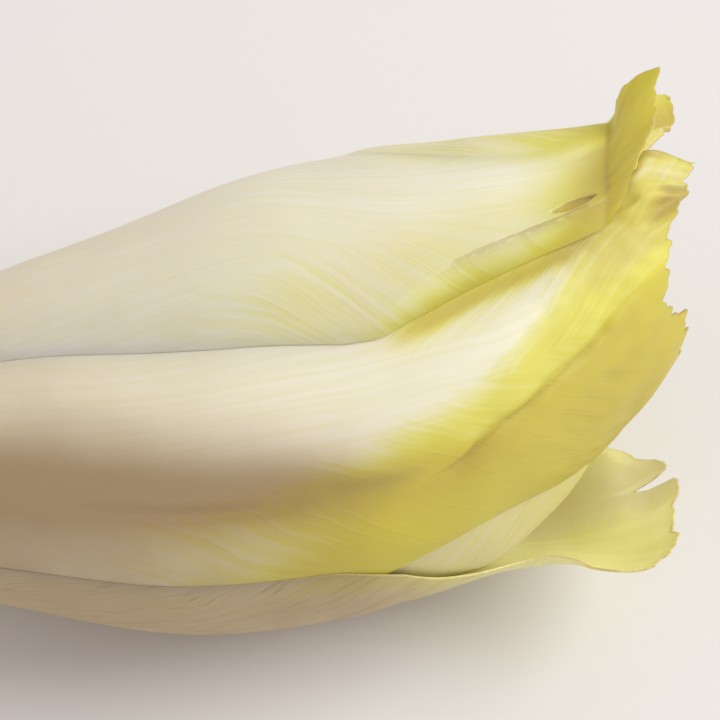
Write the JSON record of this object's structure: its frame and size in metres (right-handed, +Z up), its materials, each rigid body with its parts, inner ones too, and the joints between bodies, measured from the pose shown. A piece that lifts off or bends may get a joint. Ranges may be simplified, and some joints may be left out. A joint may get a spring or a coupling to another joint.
{
  "type": "belgian endive",
  "caption": "Head of Belgian endive lying on its side: pale ribbed leaves wrapped round a short cut stem, with yellow, ragged, loosely open tips.",
  "frame": {"origin": "on the table, in the middle of the flat belly of the lowest leaf", "axes": "+X from the stem's cut face towards the leaf tips, +Z up, -Y the front of the head, where the open side of the lowest leaf's tip is"},
  "size_m": [0.1203, 0.062, 0.0588],
  "materials": {
    "core_flesh": "moist cut surface, slightly browned",
    "outer_leaf": "smooth, waxy, ivory rib with a pale yellow blade",
    "inner_leaf": "smooth, waxy, bright yellow blade"
  },
  "bodies": {
    "root": {"core": "core_flesh", "leaf_01_top": "outer_leaf", "leaf_02_under": "outer_leaf", "leaf_03_back": "outer_leaf", "leaf_04_front": "outer_leaf", "leaf_05_inner": "inner_leaf", "leaf_06_inner": "inner_leaf", "leaf_07_inner": "inner_leaf", "leaf_08_inner": "inner_leaf", "leaf_09_inner": "inner_leaf", "leaf_10_inner": "inner_leaf", "leaf_11_inner": "inner_leaf", "leaf_12_inner": "inner_leaf", "leaf_13_inner": "inner_leaf", "leaf_14_inner": "inner_leaf", "leaf_15_inner": "inner_leaf", "leaf_16_inner": "inner_leaf"}
  },
  "joints": []
}
